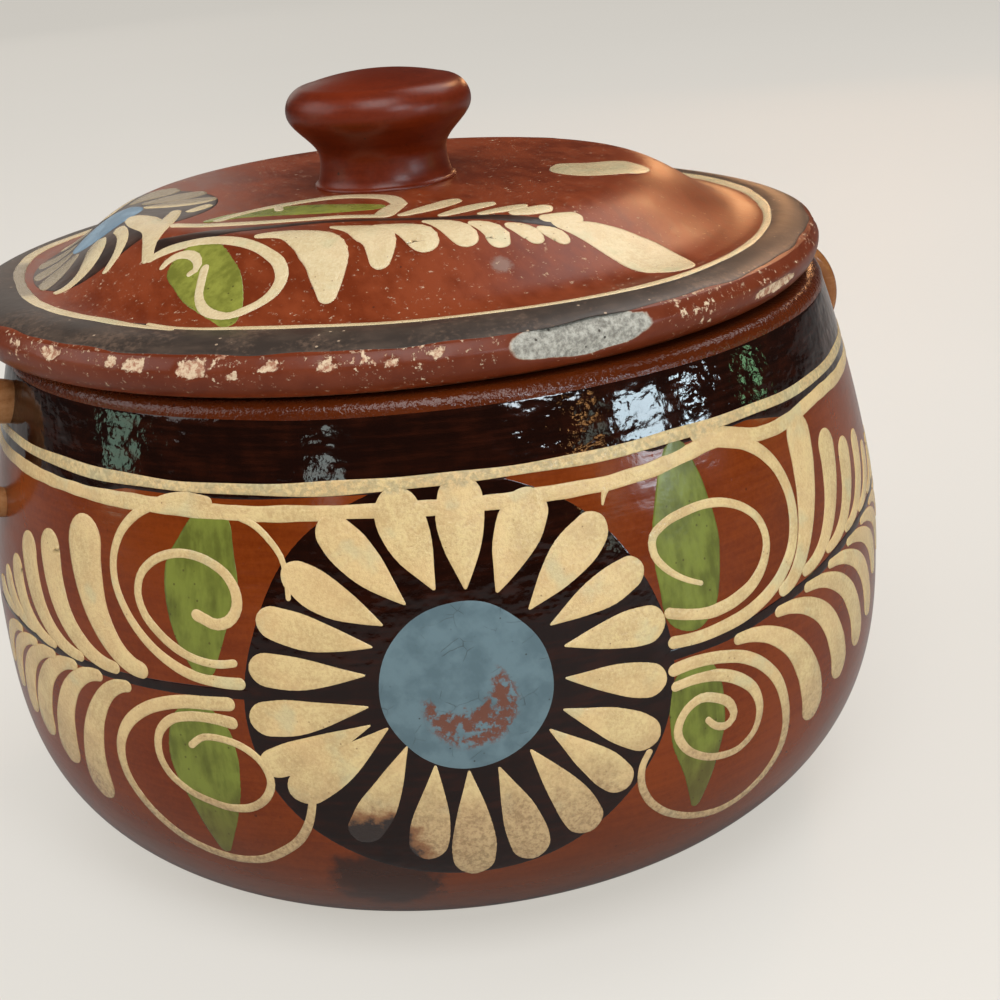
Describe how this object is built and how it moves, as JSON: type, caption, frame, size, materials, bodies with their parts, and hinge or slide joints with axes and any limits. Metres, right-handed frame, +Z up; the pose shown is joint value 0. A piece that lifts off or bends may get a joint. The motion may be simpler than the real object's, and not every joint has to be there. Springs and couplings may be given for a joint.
{
  "type": "lidded casserole dish",
  "caption": "Squat round clay casserole dish with a loop handle on each side and a loose domed lid lifted by a turned knob.",
  "frame": {"origin": "middle of the flat base, on the surface the dish stands on", "axes": "+Z up towards the knob, +X through the right loop handle, -Y the front, whose painted flower is turned 19 degrees towards -X"},
  "size_m": [0.2474, 0.228, 0.1884],
  "materials": {
    "dish_clay": "red-brown clay slip under a thin clear glaze, glossy, with small pits",
    "handle_clay": "orange-brown clay under a thin clear glaze, glossy",
    "lid_clay": "red clay slip under a worn clear glaze, satin, with buff chips along the edge",
    "knob_clay": "dark red-brown clay under a clear glaze, glossy",
    "cream_slip": "cream slip brushed on in raised strokes under the glaze",
    "green_slip": "olive green slip, glossy",
    "black_slip": "brown-black slip, very glossy",
    "blue_slip": "grey-blue slip, finely crazed and worn through to the clay"
  },
  "bodies": {
    "dish": {"dish_body": "dish_clay", "handle_left": "handle_clay", "handle_right": "handle_clay"},
    "lid": {"lid_body": "lid_clay", "lid_knob": "knob_clay"}
  },
  "joints": [
    {"name": "lid_lift", "type": "slide", "parent": "dish", "child": "lid", "axis": [0, 0, 1], "range_m": [0, 0.08]}
  ]
}
